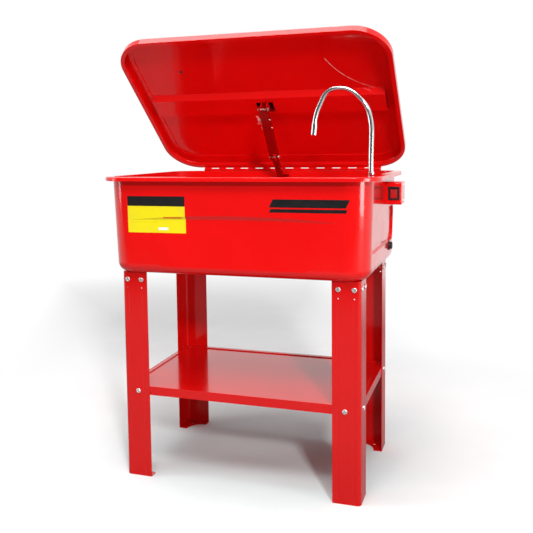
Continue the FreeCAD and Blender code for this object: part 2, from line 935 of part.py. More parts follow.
def stay_lower_arm():
    length = lower_length()
    radius = lower_arm_depth / 2
    arm = arm_channel(lower_arm_width, lower_arm_depth, length, radius, 2 * radius, length - 2 * radius)
    half = arm_width / 2
    bore = pivot_radius + pivot_play
    arm = arm.cut([rod_x(bore, -half, half, 0, 0), rod_x(bore, -half, half, -length, 0)])
    return placed_arm(arm, lower_angle(), anchor_y, anchor_z)


def knee_pin():
    """Pin through both arms, with a spacer on each side of the lower one."""
    start = lower_arm_width / 2 + seat_gap
    end = arm_width / 2 - arm_sheet - seat_gap
    pieces = [pivot(arm_width / 2 + seat_gap, knee_y, knee_z)]
    pieces.append(rod_x(spacer_radius, start, end, knee_y, knee_z))
    pieces.append(rod_x(spacer_radius, -end, -start, knee_y, knee_z))
    return joined(pieces)


def bracket_inner():
    return lower_arm_width / 2 + arm_gap


def stay_bracket(inside):
    """Ears on the tub's back wall for the stay's lower pivot."""
    inner = bracket_inner()
    outer = inner + ear_sheet
    radius = arm_end_radius
    back = wall_y(anchor_z) + 2
    front = wall_y(anchor_z) - sheet - ear_sheet
    side = outer + radius
    pieces = [block(-side, side, front, back, anchor_z - 2 * radius, anchor_z + 2 * radius)]
    for x0 in (-outer, inner):
        pieces.append(block(x0, x0 + ear_sheet, anchor_y, back, anchor_z - radius, anchor_z + radius))
        pieces.append(rod_x(radius, x0, x0 + ear_sheet, anchor_y, anchor_z))
    whole = joined(pieces).cut(rod_x(pivot_radius, -outer - 1, outer + 1, anchor_y, anchor_z))
    return whole.common(inside)


def stay_bracket_pin():
    return pivot(bracket_inner() + ear_sheet, anchor_y, anchor_z)


# --- spigot ---
def fitting_top():
    """Face that the spigot's hinge ears stand on."""
    return spigot_z - spigot_radius - 3.0


def spigot_bracket(inside):
    """Angle on the right wall that carries the spigot."""
    top = fitting_top() - 2.0
    half = spigot_bracket_half
    plate = block(spigot_x - half, rim_width / 2, spigot_y - half, spigot_y + half, top - bracket_sheet, top)
    wall = wall_x(top) - sheet
    start = wall - bracket_sheet - 1
    back = block(start, rim_width / 2, spigot_y - half, spigot_y + half, top - 2 * half, top)
    whole = joined([plate, back]).common(inside)
    return whole.cut(rod_z(barb_radius + 2.0, top - bracket_sheet - 1, top + 1, spigot_x, spigot_y))


def ear_inner():
    return swivel_width / 2 + swivel_gap


def spigot_fitting():
    """Bulkhead fitting: flange and hinge ears above the bracket, hose barb below it."""
    top = fitting_top()
    seat = top - 2.0
    under = seat - bracket_sheet
    pieces = [rod_z(fitting_radius, seat, top, spigot_x, spigot_y)]
    pieces.append(rod_z(barb_radius + 2.0, under - nut_height - 1.0, seat, spigot_x, spigot_y))
    pieces.append(rod_z(barb_radius, barb_end(), seat, spigot_x, spigot_y))
    for y0 in (spigot_y - ear_inner() - spigot_ear, spigot_y + ear_inner()):
        y1 = y0 + spigot_ear
        pieces.append(block(spigot_x - spigot_radius, spigot_x + spigot_radius, y0, y1, seat, spigot_z))
        pieces.append(rod_y(spigot_radius, y0, y1, spigot_x, spigot_z))
    whole = joined(pieces)
    reach = ear_inner() + spigot_ear + 1
    pin_hole = rod_y(spigot_pin_radius, spigot_y - reach, spigot_y + reach, spigot_x, spigot_z)
    bore = rod_z(spigot_bore, barb_end() - 1, top + 1, spigot_x, spigot_y)
    return whole.cut([pin_hole, bore])


def barb_end():
    return fitting_top() - 2.0 - bracket_sheet - nut_height - 16.0


def spigot_nut():
    under = fitting_top() - 2.0 - bracket_sheet
    ring = rod_z(fitting_radius, under - nut_height, under, spigot_x, spigot_y)
    return ring.cut(rod_z(barb_radius + 2.0, under - nut_height - 1, under + 1, spigot_x, spigot_y))


def spigot_pin():
    reach = ear_inner() + spigot_ear
    shank = rod_y(spigot_pin_radius, spigot_y - reach, spigot_y + reach, spigot_x, spigot_z)
    front = rod_y(spigot_pin_radius + 1.5, spigot_y - reach - 1.5, spigot_y - reach, spigot_x, spigot_z)
    back = rod_y(spigot_pin_radius + 1.5, spigot_y + reach, spigot_y + reach + 1.5, spigot_x, spigot_z)
    return joined([shank, front, back])


def spigot_swivel():
    """Block between the ears that the flexible tube grows from."""
    half = swivel_width / 2
    seat = spigot_z + 3 * spigot_radius
    barrel = rod_y(spigot_radius, spigot_y - half, spigot_y + half, spigot_x, spigot_z)
    neck = rod_z(half, spigot_z, spigot_z + 2 * spigot_radius, spigot_x, spigot_y)
    collar = rod_z(spigot_radius + 2.0, seat - 1.6 * spigot_radius, seat, spigot_x, spigot_y)
    bore = rod_y(spigot_pin_radius + pivot_play, spigot_y - half - 1, spigot_y + half + 1, spigot_x, spigot_z)
    return joined([barrel, neck, collar]).cut(bore)


def spigot_points():
    """The flexible tube's route, as shares of its reach and rise: up, over and down to the nozzle."""
    shares = [
        (0, 0.25),
        (0.012, 0.595),
        (-0.06, 0.796),
        (-0.36, 1.0),
        (-0.765, 1.0),
        (-0.945, 0.75),
        (-0.98, 0.66),
        (-0.99, 0.585),
    ]
    points = [V(spigot_x, spigot_y, spigot_z + 3 * spigot_radius)]
    for x, z in shares:
        points.append(V(spigot_x + x * spigot_reach, spigot_y, spigot_z + z * spigot_rise))
    return points


def gooseneck():
    return tube(spigot_points(), spigot_radius, spigot_bore)


def nozzle():
    before, end = spigot_points()[-2:]
    direction = (end - before).normalize()
    start = end - direction * nozzle_overlap
    stop = start + direction * nozzle_length
    body = rod(nozzle_radius, start, stop)
    body = body.cut(rod(spigot_radius, start - direction, end))
    return body.cut(rod(spigot_bore, end, stop + direction))


# --- pump, hose and lead ---
def pump_floor():
    return tub_floor + sheet


def pump_strainer():
    z0 = pump_floor()
    z1 = z0 + strainer_height
    x0 = pump_x - pump_length / 2 - strainer_lip
    x1 = pump_x + pump_length / 2 + strainer_lip
    y0 = pump_y - pump_width / 2 - strainer_lip
    y1 = pump_y + pump_width / 2 + strainer_lip
    body = rounded(x0, x1, y0, y1, z0, z1, 8.0)
    slots = []
    pitch = 10.0
    for k in range(int((x1 - x0 - 2 * pitch) / pitch)):
        x = x0 + pitch * (k + 1.5)
        slots.append(block(x - 1.5, x + 1.5, y0 - 1, y0 + pitch, z0 + 3, z1 - 4))
        slots.append(block(x - 1.5, x + 1.5, y1 - pitch, y1 + 1, z0 + 3, z1 - 4))
    return body.cut(slots)


def outlet_x():
    return pump_x + pump_length * 0.25


def outlet_y():
    return pump_y - pump_width * 0.2


def lead_x():
    return pump_x - pump_length * 0.3


def pump_top():
    return pump_floor() + strainer_height + pump_height


def pump_body():
    z0 = pump_floor() + strainer_height
    half_x = pump_length / 2
    half_y = pump_width / 2
    body = rounded(pump_x - half_x, pump_x + half_x, pump_y - half_y, pump_y + half_y, z0, pump_top(), 10.0)
    body = body.makeFillet(6.0, edges_at_height(body, pump_top()))
    boss = rod_z(lead_radius + 4.0, pump_top() - 2, pump_top() + 8, lead_x(), pump_y)
    boss = boss.cut(rod_z(lead_radius, pump_top(), pump_top() + 9, lead_x(), pump_y))
    return joined([body, boss])


def pump_outlet():
    """Outlet elbow on the pump, with a barb for the hose."""
    z0 = pump_top()
    collar = rod_z(barb_radius + 4.0, z0, z0 + 8, outlet_x(), outlet_y())
    barb = rod_z(barb_radius, z0, z0 + 26, outlet_x(), outlet_y())
    bore = rod_z(spigot_bore, z0 + 1, z0 + 27, outlet_x(), outlet_y())
    return joined([collar, barb]).cut(bore)


def hose_points():
    """The hose's route: up from the pump's barb, across, and up again to the spigot's barb."""
    up = V(0, 0, 1)
    start = V(outlet_x(), outlet_y(), pump_top() + hose_start)
    end = V(spigot_x, spigot_y, barb_end() + hose_start)
    across = V(end.x - start.x, end.y - start.y, 0).normalize()
    first = start + up * ((end.z - start.z - 2 * hose_bend) / 2)
    second = V(end.x, end.y, first.z + hose_bend) - across * hose_bend
    corners = quarter_turn(first, up, across, hose_bend) + quarter_turn(second, across, up, hose_bend)
    return [start] + corners + [end]


def pump_hose():
    return tube(hose_points(), hose_radius, barb_radius)


def grommet_y():
    return box_front + box_length * 0.55


def grommet_z():
    return rim_height - box_drop - box_height * 0.5


def grommet_half():
    return sheet / 2 + grommet_lip + 0.5


def wall_grommet(inside, outside):
    """Rubber ring in the side wall for the pump's lead."""
    x = wall_x(grommet_z()) - sheet / 2
    neck = rod_x(grommet_radius, x - grommet_half(), x + grommet_half(), grommet_y(), grommet_z())
    lip_radius = grommet_radius + 3.0
    lips = rod_x(lip_radius, x - grommet_half(), x + grommet_half(), grommet_y(), grommet_z())
    inner_lip = lips.common(inside)
    outer_lip = lips.cut(outside)
    whole = joined([neck, inner_lip, outer_lip])
    return whole.cut(rod_x(lead_radius, x - rim_flange, x + rim_flange, grommet_y(), grommet_z()))


def lead_points():
    """The lead's route from the pump's boss to the grommet behind the switch box."""
    end_x = wall_x(grommet_z()) + grommet_half()
    start = pump_top() + 1
    return [
        V(lead_x(), pump_y, start),
        V(lead_x(), pump_y, start + 46),
        V(lead_x() + 34, pump_y - 6, start + 88),
        V(end_x - 64, grommet_y(), grommet_z()),
        V(end_x, grommet_y(), grommet_z()),
    ]


def pump_lead():
    return tube(lead_points(), lead_radius)


# --- work shelf ---
def work_shelf():
    """Perforated shelf that rests on the pressed ledges of the front and back walls."""
    half_y = wall_y(press_top) - sheet - tray_ledge_reach
    lift = sheet * (press_run - press_ledge) / press_depth
    ledge_z = press_top + lift - tray_ledge_reach * press_ledge / press_depth
    top = ledge_z + tray_sheet
    plate = block(-tray_left, tray_right, -half_y, half_y, ledge_z, top)
    edge_y = half_y - press_depth
    left = block(-tray_left, -tray_left + tray_sheet, -edge_y, edge_y, top - tray_edge, top)
    right = block(tray_right - tray_sheet, tray_right, -edge_y, edge_y, top - tray_edge, top)
    holes = []
    columns = int((tray_left + tray_right - 2 * tray_hole_margin) / tray_hole_pitch) + 1
    rows = int((2 * half_y - 2 * tray_hole_margin) / tray_hole_pitch) + 1
    middle_x = (tray_right - tray_left) / 2
    for i in range(columns):
        for j in range(rows):
            x = middle_x + (i - (columns - 1) / 2) * tray_hole_pitch
            y = (j - (rows - 1) / 2) * tray_hole_pitch
            holes.append(rod_z(tray_hole_radius, ledge_z - 1, top + 1, x, y))
    return joined([plate, left, right]).cut(holes)


# --- switch box ---
def box_top():
    return rim_height - box_drop


def box_low():
    return box_top() - box_height


def box_right():
    return wall_x(box_top()) + box_out


def box_back():
    return box_front + box_length


def bezel_x():
    return box_right() - box_out / 2 + 0.5


def bezel_z():
    return (box_top() + box_low()) / 2


def switch_opening(grow, y0, y1):
    half_x = switch_width / 2 + grow
    half_z = switch_body_height / 2 + grow
    return block(bezel_x() - half_x, bezel_x() + half_x, y0, y1, bezel_z() - half_z, bezel_z() + half_z)


def switch_box_cover(outside):
    """Five-sided cover, open towards the tub wall."""
    x0 = wall_x(box_low()) - rim_flange
    shell = block(x0, box_right(), box_front, box_back(), box_low(), box_top())
    shell = shell.makeFillet(box_corner, edges_along(shell, "x"))
    shell = shell.makeFillet(box_edge, edges_at_side(shell, box_right()))
    hollow = block(
        x0 - 1,
        box_right() - box_sheet,
        box_front + box_sheet,
        box_back() - box_sheet,
        box_low() + box_sheet,
        box_top() - box_sheet,
    )
    hollow = hollow.makeFillet(box_corner - box_sheet, edges_along(hollow, "x"))
    gland = rod_y(gland_radius - 2.0, box_back() - 3, box_back() + 1, gland_x(), bezel_z())
    cuts = [hollow, switch_opening(0, box_front - 1, box_front + 3), gland, outside]
    cuts += box_screw_holes()
    return shell.cut(cuts)


def box_screw_places():
    """Middle heights of the two lugs that the cover's side screws enter."""
    middle_y = (box_front + box_back()) / 2
    return [V(box_right(), middle_y, box_low() + 10), V(box_right(), middle_y, box_top() - 10)]


def box_screw_holes():
    return [rod_x(rivet_radius, p.x - 8, p.x + 1, p.y, p.z) for p in box_screw_places()]


def switch_box_base(outside):
    """Back plate on the tub wall with two posts for the cover's screws."""
    x0 = wall_x(box_low()) - rim_flange
    x1 = wall_x(bezel_z()) + box_sheet
    gap = box_sheet + 0.3
    plate = block(x0, x1, box_front + gap, box_back() - gap, box_low() + gap, box_top() - gap)
    plate = plate.makeFillet(box_corner - gap, edges_along(plate, "x"))
    pieces = [plate]
    for p in box_screw_places():
        pieces.append(rod_x(rivet_radius + 2.5, x0, box_right() - box_sheet, p.y, p.z))
    whole = joined(pieces).cut(box_screw_holes() + [outside])
    return whole.cut(rod_x(grommet_radius + 3.5, x0, x1 + 1, grommet_y(), grommet_z()))


def switch_screws():
    screws = []
    for p in box_screw_places():
        head = rod_x(rivet_head_radius, p.x, p.x + 2.0, p.y, p.z)
        head = head.makeFillet(1.0, edges_at_side(head, p.x + 2.0))
        screws.append(joined([head, rod_x(rivet_radius, p.x - 7, p.x, p.y, p.z)]))
    return Part.makeCompound(screws)


def rocker_opening():
    half_x = rocker_width / 2 + rocker_gap / 2
    half_z = rocker_half_height + rocker_gap
    y0 = box_front - bezel_proud - 1
    y1 = box_front + switch_body_depth - 4
    return block(bezel_x() - half_x, bezel_x() + half_x, y0, y1, bezel_z() - half_z, bezel_z() + half_z)


def rocker_axis_y():
    return box_front - bezel_proud + rocker_pivot_depth


def switch_bezel():
    """Switch body: a frame in front of the box and a housing behind it."""
    half_x = bezel_width / 2
    half_z = bezel_height / 2
    y0 = box_front - bezel_proud
    x0 = bezel_x() - half_x
    z0 = bezel_z() - half_z
    frame = rounded(x0, x0 + bezel_width, y0, box_front, z0, z0 + bezel_height, 2.0, "y")
    body = switch_opening(0, box_front, box_front + switch_body_depth)
    whole = joined([frame, body]).cut(rocker_opening())
    reach = rocker_width / 2 + rocker_gap / 2 + 1.5
    bore = rocker_axle_radius + pivot_play
    axle = rod_x(bore, bezel_x() - reach, bezel_x() + reach, rocker_axis_y(), bezel_z())
    return whole.cut(axle)


def rocker():
    """Rocker with a shallow V front, pressed in at its lower end, on two stub axles."""
    half = rocker_half_height
    front = -rocker_pivot_depth - rocker_proud
    points = [
        V(0, front - 0.5, half),
        V(0, front + 1.5, 0),
        V(0, front - 0.5, -half),
        V(0, 3.0, -half + 1.5),
        V(0, 6.0, 0),
        V(0, 3.0, half - 1.5),
        V(0, front - 0.5, half),
    ]
    body = Part.Face(Part.makePolygon(points)).extrude(V(rocker_width, 0, 0))
    body.translate(V(-rocker_width / 2, 0, 0))
    axle_half = rocker_width / 2 + rocker_gap / 2 + 1.2
    whole = joined([body, rod_x(rocker_axle_radius, -axle_half, axle_half, 0, 0)])
    whole.rotate(V(0, 0, 0), V(1, 0, 0), rocker_tilt)
    whole.translate(V(bezel_x(), rocker_axis_y(), bezel_z()))
    return whole


def gland_x():
    return bezel_x()


def cord_gland():
    """Gland for the supply cord in the back of the switch box."""
    y0 = box_back()
    x = gland_x()
    z = bezel_z()
    flange = rod_y(gland_radius + 2.0, y0, y0 + 3, x, z)
    body = rod_y(gland_radius, y0, y0 + gland_length, x, z)
    neck = rod_y(gland_radius - 2.0, y0 - box_sheet - 4, y0, x, z)
    bore = rod_y(gland_bore, y0 - box_sheet - 5, y0 + gland_length + 1, x, z)
    return joined([flange, body, neck]).cut(bore)


# --- drain ---
def drain_bushing(inside, outside):
    """Flanged tube through the side wall near the floor."""
    wall = wall_x(drain_z)
    low = wall - sheet - drain_inner_length
    high = wall + drain_flange_thick
    neck = rod_x(drain_tube, low, high, drain_back, drain_z)
    flange = rod_x(drain_flange, wall - sheet, high, drain_back, drain_z).cut(outside)
    return joined([neck, flange]).cut(rod_x(drain_bore, low - 1, high + 1, drain_back, drain_z))


def drain_plug():
    wall = wall_x(drain_z)
    low = wall - sheet - drain_inner_length
    seat = wall + drain_flange_thick + plug_gap
    stem = rod_x(drain_bore - plug_gap, low, seat + plug_head, drain_back, drain_z)
    head = rod_x(plug_head_radius, seat, seat + plug_head, drain_back, drain_z)
    head = head.makeFillet(1.5, edges_at_side(head, seat + plug_head))
    return joined([stem, head])


# --- graphics on the front wall ---
def coated(thickness):
    """The outside of the tub's straight walls under a coat."""
    return tub_block(-thickness, tub_floor, rim_height, 0, 0).cut(wall_presses(-thickness))


def wall_film(shape):
    """A thin film on the front wall where a shape covers it."""
    return coated(film_seat + film).common(shape).cut(coated(film_seat))


def front_label():
    top = rim_height - label_drop
    left = label_inset - tub_top_x
    return wall_film(block(left, left + label_width, -rim_depth, 0, top - label_height, top))


def slanted_bar(x0, x1, z0, z1):
    """A bar on the front wall with both ends leaning to the right."""
    lean = (z1 - z0) / 2
    points = [V(x0, -rim_depth, z0), V(x1, -rim_depth, z0), V(x1 + lean, -rim_depth, z1)]
    points += [V(x0 + lean, -rim_depth, z1), points[0]]
    return Part.Face(Part.makePolygon(points)).extrude(V(0, rim_depth, 0))


def front_stripes():
    """A wide plain stripe over a narrow one."""
    top = rim_height - stripe_drop
    middle = top - stripe_height
    low = middle - stripe_gap
    right = tub_top_x - stripe_inset
    left = right - stripe_width
    wide = slanted_bar(left, right, middle, top)
    narrow = slanted_bar(left, right, low - stripe_thin, low)
    return Part.makeCompound([wall_film(wide), wall_film(narrow)])


def parts():
    inside = tub_inside()
    outside = tub_outside()
    made = {
        "tank": tank(inside),
        "lower_shelf": lower_shelf(),
        "leg_bolts": fastened(bolt, 2 * leg_sheet, leg_bolt_z(), leg_bolt_insets()),
        "leg_nuts": fastened(nut, 2 * leg_sheet, leg_bolt_z(), leg_bolt_insets()),
        "shelf_bolts": fastened(bolt, leg_sheet + sheet, shelf_bolt_z(), [shelf_bolt_inset]),
        "shelf_nuts": fastened(nut, leg_sheet + sheet, shelf_bolt_z(), [shelf_bolt_inset]),
        "hinge_leaf_tank": hinge_leaf_tank(),
        "hinge_pin": hinge_pin(),
        "hinge_rivets_tank": hinge_rivets_at(lip_rivet_z()),
        "hinge_leaf_lid": opened(hinge_leaf_lid()),
        "hinge_rivets_lid": opened(hinge_rivets_at(lid_rivet_z())),
        "lid": opened(lid()),
        "lid_stiffener": opened(lid_stiffener()),
        "stay_clevis": opened(stay_clevis()),
        "stay_clevis_pin": opened(stay_clevis_pin()),
        "stay_upper_arm": stay_upper_arm(),
        "link_studs": link_studs(),
        "fusible_link": fusible_link(),
        "wing_nut": wing_nut(),
        "stay_lower_arm": stay_lower_arm(),
        "knee_pin": knee_pin(),
        "stay_bracket": stay_bracket(inside),
        "stay_bracket_pin": stay_bracket_pin(),
        "spigot_bracket": spigot_bracket(inside),
        "spigot_fitting": spigot_fitting(),
        "spigot_nut": spigot_nut(),
        "spigot_pin": spigot_pin(),
        "spigot_swivel": spigot_swivel(),
        "gooseneck": gooseneck(),
        "nozzle": nozzle(),
        "pump_strainer": pump_strainer(),
        "pump_body": pump_body(),
        "pump_outlet": pump_outlet(),
        "pump_hose": pump_hose(),
        "pump_lead": pump_lead(),
        "wall_grommet": wall_grommet(inside, outside),
        "work_shelf": work_shelf(),
        "switch_box_cover": switch_box_cover(outside),
        "switch_box_base": switch_box_base(outside),
        "switch_screws": switch_screws(),
        "switch_bezel": switch_bezel(),
        "rocker": rocker(),
        "cord_gland": cord_gland(),
        "drain_bushing": drain_bushing(inside, outside),
        "drain_plug": drain_plug(),
        "front_label": front_label(),
        "front_stripes": front_stripes(),
    }
    corners = {"front_left": (-1, -1), "front_right": (1, -1), "rear_left": (-1, 1), "rear_right": (1, 1)}
    for name, (side_x, side_y) in corners.items():
        made["leg_" + name] = mirrored(leg(), side_x, side_y)
        made["bracket_" + name] = mirrored(corner_bracket(), side_x, side_y)
    return made


os.makedirs(OUT, exist_ok=True)
for name, shape in parts().items():
    shape.exportStep(os.path.join(OUT, name + ".step"))
    print(name, len(shape.Solids), round(shape.Volume), shape.isValid())
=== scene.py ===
"""Parts washer tank: finishes, small fittings, stage, lamps and camera around the fixed frame."""
import functools
import json
import math

import bmesh
import bpy
from bpy.props import FloatProperty, FloatVectorProperty, PointerProperty
from mathutils import Matrix, Vector


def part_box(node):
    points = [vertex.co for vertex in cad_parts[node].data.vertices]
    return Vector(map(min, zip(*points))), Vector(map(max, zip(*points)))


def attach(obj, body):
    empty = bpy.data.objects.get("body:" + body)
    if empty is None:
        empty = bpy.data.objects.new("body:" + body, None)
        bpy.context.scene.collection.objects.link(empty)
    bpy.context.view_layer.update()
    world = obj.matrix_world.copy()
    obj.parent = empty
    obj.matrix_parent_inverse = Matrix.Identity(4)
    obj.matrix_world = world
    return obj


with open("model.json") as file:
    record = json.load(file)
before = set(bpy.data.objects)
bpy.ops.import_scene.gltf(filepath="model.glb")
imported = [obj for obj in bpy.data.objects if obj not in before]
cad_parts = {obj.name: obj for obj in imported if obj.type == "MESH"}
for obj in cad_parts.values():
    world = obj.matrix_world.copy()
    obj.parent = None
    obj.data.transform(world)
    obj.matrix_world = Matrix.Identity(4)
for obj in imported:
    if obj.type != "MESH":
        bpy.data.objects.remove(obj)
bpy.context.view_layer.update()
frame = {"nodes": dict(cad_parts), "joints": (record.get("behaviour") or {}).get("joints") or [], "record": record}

bl_info = {
    "name": "Parts washer tank",
    "version": (1, 0, 0),
    "blender": (4, 5, 0),
    "location": "3D View > Sidebar > Parts washer",
    "description": "Finishes and stage for a parts washer tank",
    "category": "Object",
}

MM = 0.001

# The lid as it is modelled, open at rest. Places on it are across it and along it from its hinge.
LID_ANGLE = math.radians(40)
LID_ALONG = Vector((0, -math.cos(LID_ANGLE), math.sin(LID_ANGLE)))
LID_INWARD = Vector((0, -math.sin(LID_ANGLE), -math.cos(LID_ANGLE)))
LID_PANEL_DEPTH = 30 * MM
# Place, size and reach of the painted highlight arc inside the lid.
HIGHLIGHT_ARC_MIDDLE = (411 * MM, 540 * MM)
HIGHLIGHT_ARC_RADIUS = 221 * MM
HIGHLIGHT_ARC_REACH = (-203 * MM, -60 * MM)
HIGHLIGHT_ARC_WIDTH = 1.6 * MM
# Size of the painted shade behind the stiffener's window.
WINDOW_SHADE_MARGIN = 40 * MM
WINDOW_SHADE_HALF_HEIGHT = 30 * MM
LID_PLUG_PLACE = (-229.5 * MM, 428 * MM)
LID_PLUG_PROFILE = (
    (4.6 * MM, 0.0),
    (4.8 * MM, 0.5 * MM),
    (4.5 * MM, 1.3 * MM),
    (3.4 * MM, 1.9 * MM),
    (1.6 * MM, 2.1 * MM),
)

# The enamel: its surface, the height of its waves, and the painted shade on the stand and stay, as a share of the
# tub's colour.
ENAMEL_SURFACE = {"Specular IOR Level": 0.24, "Coat Weight": 0.45, "Coat IOR": 1.45, "Coat Roughness": 0.05}
ENAMEL_WAVE = 0.018 * MM
# Painted shade: the stand's and stay's enamel is written darker than the tub's, for the shade that falls on them.
STAND_PAINTED_SHADE = 0.84
STAY_PAINTED_SHADE = 0.32

# Areas of the label as shares of its width and height: left, right, foot, top.
LABEL_RULE_AREA = (0.62, 0.94, 0.40, 0.44)
LABEL_LINE_AREA = (0.06, 0.52, 0.285, 0.295)
LABEL_BOX_AREA = (0.53, 0.70, 0.08, 0.15)
LABEL_BAND_AREA = (-1.0, 2.0, 0.73, 2.0)
LABEL_WHITE = (0.92, 0.92, 0.92)

# Ranges in metres over which the floor changes, by distance from the middle or from the shadow's line.
FLOOR_NEAR_RANGE = (0.3, 0.75)
FLOOR_FAR_RANGE = (1.7, 3.4)
SHADOW_ASIDE = (0.89, 0.45)
SHADOW_ASIDE_RANGE = (0.4, 0.95)
SHADOW_START_RANGE = (0.9, 1.4)
DARK_FLOOR_RANGE = (-3.0, -1.4)
DARK_ROOM_RANGE = (-0.75, -0.2)

# Lamps: name, setting that holds the power, size and place. All of them point at LAMP_TARGET.
LAMP_TARGET = (0.0, 0.0, 0.7)
LAMPS = (
    ("key", "key_power", (0.6, 0.6), (3.0, -5.2, 3.6)),
    ("soft box", "soft_power", (1.0, 0.6), (0.4, -1.45, 2.4)),
    ("top", "top_power", (2.4, 2.4), (-0.2, -0.2, 3.3)),
    ("fill", "fill_power", (0.6, 1.8), (-3.0, -1.4, 1.3)),
    ("strip", "strip_power", (1.1, 0.5), (3.2, -1.0, 0.55)),
)

# Camera: place in metres, and yaw, pitch and roll in degrees.
CAMERA_PLACE = (0.66237, -2.04511, 0.93516)
CAMERA_TURN = (18.704, 5.096, -0.739)
CAMERA_SHIFT = (0.031, -0.100)


# --- settings ---
def colour(name, description, default):
    return FloatVectorProperty(
        name=name, description=description, subtype="COLOR", size=3, min=0, max=1, default=default
    )


def share(name, description, default):
    return FloatProperty(name=name, description=description, subtype="FACTOR", min=0, max=1, default=default)


def length(name, description, default):
    return FloatProperty(
        name=name, description=description, unit="LENGTH", subtype="DISTANCE", min=0, default=default
    )


def power(name, description, default):
    return FloatProperty(name=name, description=description, unit="POWER", min=0, default=default)


class WasherFinish(bpy.types.PropertyGroup):
    """Colours and measures of the finishes"""

    enamel: colour("Enamel", "Colour of the painted steel", (0.86, 0.0048, 0.0048))
    enamel_shade: colour("Enamel, thick", "Colour where the paint lies thick", (0.80, 0.0034, 0.0034))
    enamel_roughness: share("Enamel roughness", "Roughness of the painted steel", 0.15)
    peel_size: length("Orange peel", "Width of the waves in the paint", 0.0032)
    zinc: colour("Zinc", "Colour of the plated fasteners", (0.88, 0.87, 0.85))
    chrome: colour("Chrome", "Colour of the spigot", (0.80, 0.81, 0.82))
    alloy: colour("Alloy", "Colour of the fusible link", (0.62, 0.62, 0.60))
    plastic: colour("Plastic", "Colour of the moulded black pieces", (0.012, 0.012, 0.013))
    rubber: colour("Rubber", "Colour of the rubber pieces", (0.020, 0.020, 0.020))
    rocker: colour("Rocker", "Colour of the switch rocker", (0.50, 0.012, 0.014))
    label_field: colour("Label field", "Colour of the label's lower part", (0.90, 0.76, 0.010))
    label_band: colour("Label band", "Colour of the label's top band", (0.014, 0.013, 0.013))
    label_rule: colour("Label rule", "Colour of the label's short rule", (0.85, 0.14, 0.010))
    stripe: colour("Stripes", "Colour of the cut film on the front", (0.006, 0.006, 0.007))


class WasherStage(bpy.types.PropertyGroup):
    """Colours of the floor, powers of the lamps and the camera's lens"""

    floor: colour("Floor", "Colour of the floor as it is seen", (0.97, 0.97, 0.97))
    floor_near: colour(
        "Floor, near", "Colour of the floor under the tank, where red light falls back", (0.84, 0.925, 0.925)
    )
    floor_bounce: colour(
        "Floor bounce", "Colour of the floor for the light that it throws back", (0.36, 0.36, 0.36)
    )
    floor_radius: length("Floor radius", "Distance to the floor's edge, where it has faded out", 8.0)
    key_power: power("Key lamp", "Power of the far lamp", 215.0)
    soft_power: power("Soft box", "Power of the soft box in front", 26.0)
    top_power: power("Top lamp", "Power of the lamp above", 84.0)
    fill_power: power("Fill lamp", "Power of the lamp on the left", 18.0)
    strip_power: power("Strip lamp", "Power of the lamp on the right", 26.0)
    world_light: share("Room light", "Strength of the even light from all round", 0.11)
    dark_front: share("Dark front", "Strength of the room behind the viewer in reflections", 0.10)
    focal: FloatProperty(
        name="Focal length", description="Camera focal length", unit="CAMERA", min=1.0, default=49.478
    )


# --- shader helpers ---
class Shader:
    """Adds and joins nodes in one tree."""

    def __init__(self, tree):
        self.tree = tree

    def add(self, kind, **values):
        node = self.tree.nodes.new(kind)
        for key, value in values.items():
            setattr(node, key, value)
        return node

    def join(self, source, target):
        self.tree.links.new(source, target)

    def math(self, operation, a, b=None):
        node = self.add("ShaderNodeMath", operation=operation)
        for socket, value in zip(node.inputs, (a, b)):
            self.feed(socket, value)
        return node.outputs[0]

    def feed(self, socket, value):
        """Joins an output to the socket, or sets a plain value. None leaves the socket as it is."""
        if value is None:
            return
        if isinstance(value, bpy.types.NodeSocket):
            self.join(value, socket)
        else:
            socket.default_value = value

    def noise(self, coordinate, scale, detail=2.0):
        node = self.add("ShaderNodeTexNoise")
        self.join(coordinate, node.inputs["Vector"])
        node.inputs["Scale"].default_value = scale
        node.inputs["Detail"].default_value = detail
        return node.outputs["Fac"]

    def split(self, vector):
        node = self.add("ShaderNodeSeparateXYZ")
        self.join(vector, node.inputs[0])
        return node.outputs

    def within(self, value, low, high):
        """1 where the value lies between two numbers."""
        above = self.math("GREATER_THAN", value, low)
        return self.math("MULTIPLY", above, self.math("LESS_THAN", value, high))

    def span(self, value, low, high, to_low, to_high):
        """Maps low to high onto to_low to to_high, and holds the value at both ends."""
        node = self.add("ShaderNodeMapRange")
        names = ("Value", "From Min", "From Max", "To Min", "To Max")
        for name, item in zip(names, (value, low, high, to_low, to_high)):
            self.feed(node.inputs[name], item)
        return node.outputs["Result"]

    def dot(self, vector, direction):
        node = self.add("ShaderNodeVectorMath", operation="DOT_PRODUCT")
        self.feed(node.inputs[0], vector)
        self.feed(node.inputs[1], direction)
        return node.outputs["Value"]

    def blend(self, factor, a, b):
        node = self.add("ShaderNodeMix", data_type="RGBA")
        self.feed(node.inputs[0], factor)
        self.feed(node.inputs[6], a)
        self.feed(node.inputs[7], b)
        return node.outputs[2]


def rgba(value, tone=1.0, lift=0.0):
    """The colour with its alpha, made darker or brighter and lifted where that is asked."""
    return tuple(min(1.0, channel * tone + lift) for channel in value) + (1.0,)


def new_group(name, inputs, outputs):
    """A node group with named float inputs, each with its default, and named outputs."""
    group = bpy.data.node_groups.new(name, "ShaderNodeTree")
    for label, default in inputs:
        socket = group.interface.new_socket(name=label, in_out="INPUT", socket_type="NodeSocketFloat")
        socket.default_value = default
    for label, kind in outputs:
        group.interface.new_socket(name=label, in_out="OUTPUT", socket_type=kind)
    shader = Shader(group)
    source = shader.add("NodeGroupInput")
    sink = shader.add("NodeGroupOutput")
    return group, shader, source, sink


